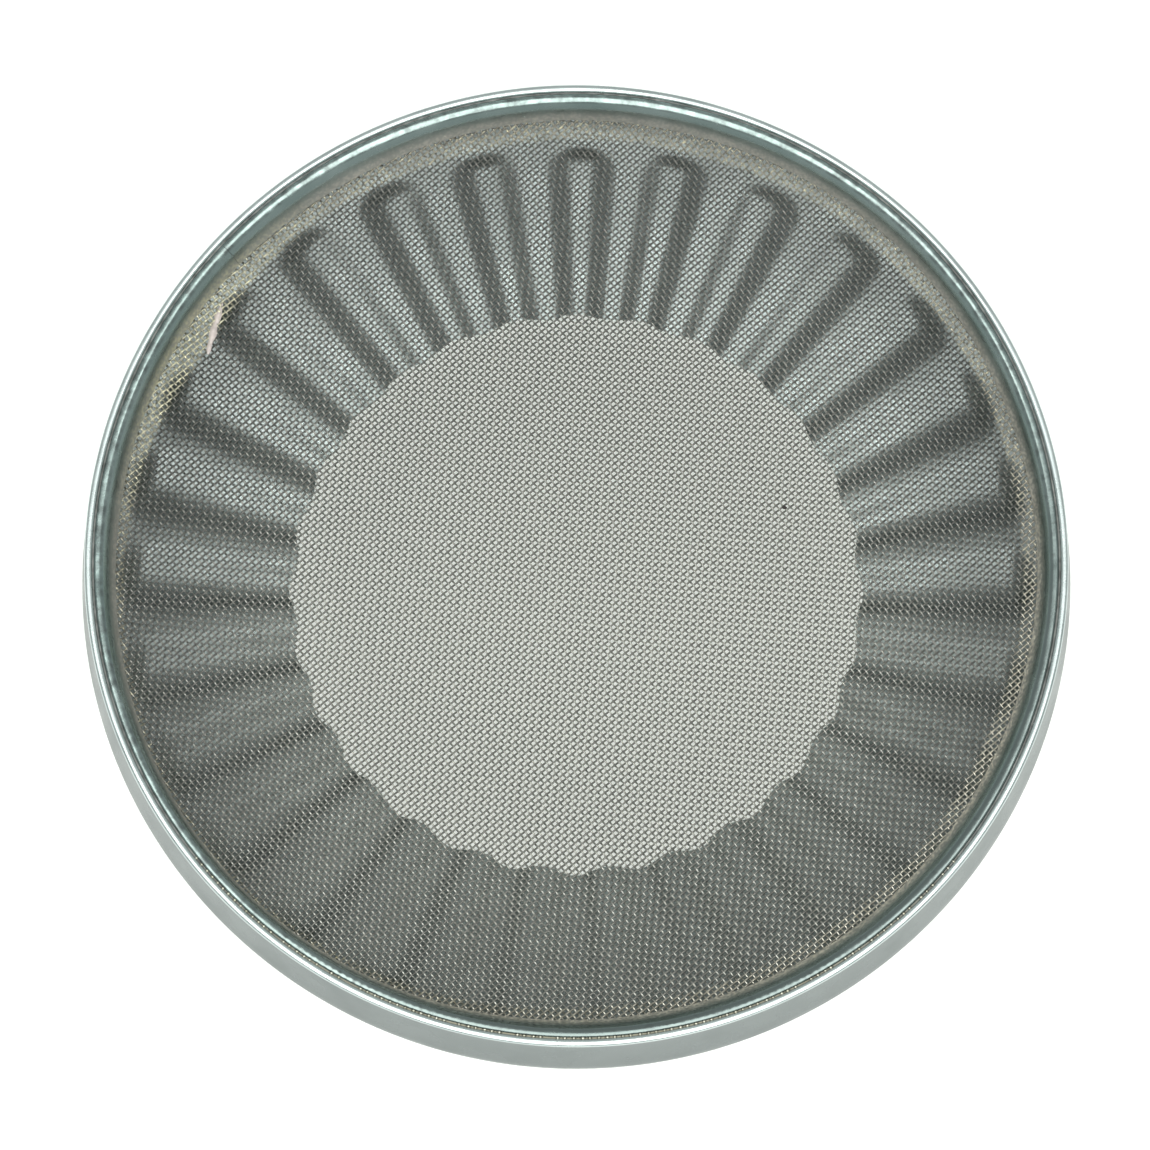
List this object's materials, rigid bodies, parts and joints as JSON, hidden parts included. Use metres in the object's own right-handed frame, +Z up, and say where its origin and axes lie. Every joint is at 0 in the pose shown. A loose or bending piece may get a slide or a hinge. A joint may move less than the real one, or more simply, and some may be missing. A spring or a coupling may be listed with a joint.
{
  "type": "soil sieve",
  "caption": "Round galvanised soil sieve: a rolled-rim band with wire cloth held by a hoop, and a fluted shoulder that narrows to a scalloped opening.",
  "frame": {"origin": "centre of the base, level with the feet of the flutes", "axes": "+Z up through the wire cloth, along the sieve's axis of symmetry; +X and +Y level"},
  "size_m": [0.3058, 0.3058, 0.052],
  "materials": {
    "galvanised_sheet": "bright galvanised steel sheet, soft satin with faint spangle and handling marks",
    "hoop_sheet": "bright galvanised steel strip, smooth, with a bright blotchy top edge",
    "core_wire": "plain drawn steel wire",
    "cloth_wire": "galvanised drawn wire, semi-bright, slightly warm at the edge"
  },
  "bodies": {
    "root": {"body_shell": "galvanised_sheet", "rim_wire": "core_wire", "clamp_hoop": "hoop_sheet", "warp_wires": "cloth_wire", "weft_wires": "cloth_wire", "cloth_edge": "cloth_wire"}
  },
  "joints": []
}
